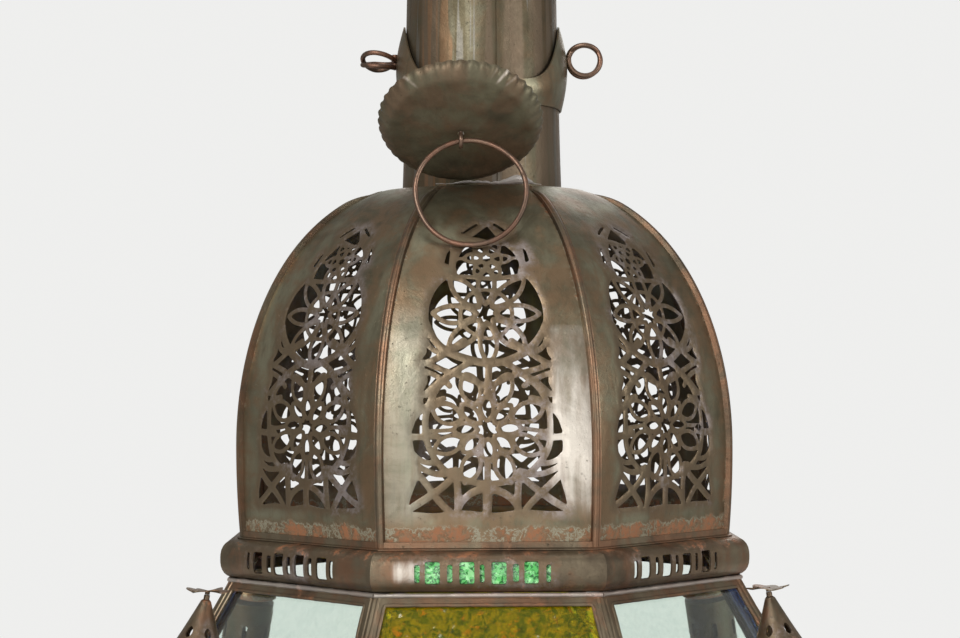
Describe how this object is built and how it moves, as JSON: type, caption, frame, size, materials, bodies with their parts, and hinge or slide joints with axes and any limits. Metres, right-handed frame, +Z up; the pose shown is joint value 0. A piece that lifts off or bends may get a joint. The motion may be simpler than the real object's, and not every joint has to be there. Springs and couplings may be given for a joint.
{
  "type": "moroccan lantern",
  "caption": "Octagonal pierced metal dome lantern with a round neck, slotted ring moulding, glazed shoulder, corner turrets and a square glazed candle body with a hinged door.",
  "frame": {"origin": "centre of the underside of the base plate", "axes": "+Z up along the lantern's axis, -Y towards the front with the door and the hanging disc, +X to the viewer's right"},
  "size_m": [0.4294, 0.4294, 0.7619],
  "materials": {
    "aged_tin": "aged dull olive brown sheet metal",
    "dark_tin": "dark aged sheet metal",
    "rusted_tin": "rust stained sheet metal with a copper tone",
    "copper_wire": "aged copper toned wire",
    "yellow_glass": "hammered yellow glass",
    "clear_glass": "clear glass with a green tint",
    "blue_glass": "hammered blue glass",
    "green_glass": "textured green glass"
  },
  "bodies": {
    "lantern": {"base_plate": "aged_tin", "base_moulding": "rusted_tin", "drip_tray": "aged_tin", "candle_cup": "aged_tin", "body_frame": "rusted_tin", "body_pane_left": "blue_glass", "body_pane_right": "blue_glass", "body_pane_back": "yellow_glass", "door_hinge_lower": "dark_tin", "door_hinge_upper": "dark_tin", "eaves_plate": "aged_tin", "turret_tube_1": "dark_tin", "turret_tube_2": "dark_tin", "turret_tube_3": "dark_tin", "turret_tube_4": "dark_tin", "turret_cap_1": "aged_tin", "turret_cap_2": "aged_tin", "turret_cap_3": "aged_tin", "turret_cap_4": "aged_tin", "turret_flower_1": "rusted_tin", "turret_flower_2": "rusted_tin", "turret_flower_3": "rusted_tin", "turret_flower_4": "rusted_tin", "shoulder_frame": "rusted_tin", "shoulder_pane_1": "yellow_glass", "shoulder_pane_2": "clear_glass", "shoulder_pane_3": "blue_glass", "shoulder_pane_4": "clear_glass", "shoulder_pane_5": "yellow_glass", "shoulder_pane_6": "clear_glass", "shoulder_pane_7": "blue_glass", "shoulder_pane_8": "clear_glass", "ring_moulding": "rusted_tin", "green_glass_strip": "green_glass", "dome_frame": "rusted_tin", "dome_top_ring": "rusted_tin", "dome_panel_1": "aged_tin", "dome_panel_2": "aged_tin", "dome_panel_3": "aged_tin", "dome_panel_4": "aged_tin", "dome_panel_5": "aged_tin", "dome_panel_6": "aged_tin", "dome_panel_7": "aged_tin", "dome_panel_8": "aged_tin", "neck_tube": "aged_tin", "neck_collar": "aged_tin", "neck_cap": "aged_tin", "hanging_eye": "dark_tin"},
    "door": {"door_frame": "rusted_tin", "door_pane": "yellow_glass", "door_knob": "copper_wire"},
    "latch": {"door_latch": "dark_tin"},
    "top_ring": {"hanging_ring": "dark_tin"},
    "disc": {"disc_hanger": "copper_wire", "crimped_disc": "dark_tin"},
    "front_ring": {"wire_ring": "copper_wire"},
    "left_eyelet": {"eyelet_left": "copper_wire"},
    "right_eyelet": {"eyelet_right": "copper_wire"}
  },
  "joints": [
    {"name": "door_hinge", "type": "hinge", "parent": "lantern", "child": "door", "pos_m": [-0.1395, -0.213, 0.02362], "axis": [0, -0.158, -0.9874], "range_deg": [0, 110]},
    {"name": "latch_turn", "type": "hinge", "parent": "lantern", "child": "latch", "pos_m": [0.1475, -0.18938, 0.15035], "axis": [0, -0.9874, 0.158], "continuous": true},
    {"name": "top_ring_swing", "type": "hinge", "parent": "lantern", "child": "top_ring", "pos_m": [0, 0, 0.70768], "axis": [0, 1, 0], "range_deg": [-120, 120]},
    {"name": "disc_swing", "type": "hinge", "parent": "lantern", "child": "disc", "pos_m": [-0.0128, -0.04834, 0.58519], "axis": [1, 0, 0], "range_deg": [-60, 0]},
    {"name": "front_ring_swing", "type": "hinge", "parent": "disc", "child": "front_ring", "pos_m": [-0.0128, -0.09169, 0.55082], "axis": [1, 0, 0], "range_deg": [-95, 0]},
    {"name": "left_eyelet_swivel", "type": "hinge", "parent": "lantern", "child": "left_eyelet", "pos_m": [-0.05, 0, 0.60639], "axis": [1, 0, 0], "continuous": true},
    {"name": "right_eyelet_swivel", "type": "hinge", "parent": "lantern", "child": "right_eyelet", "pos_m": [0.05, 0, 0.60639], "axis": [1, 0, 0], "continuous": true}
  ]
}
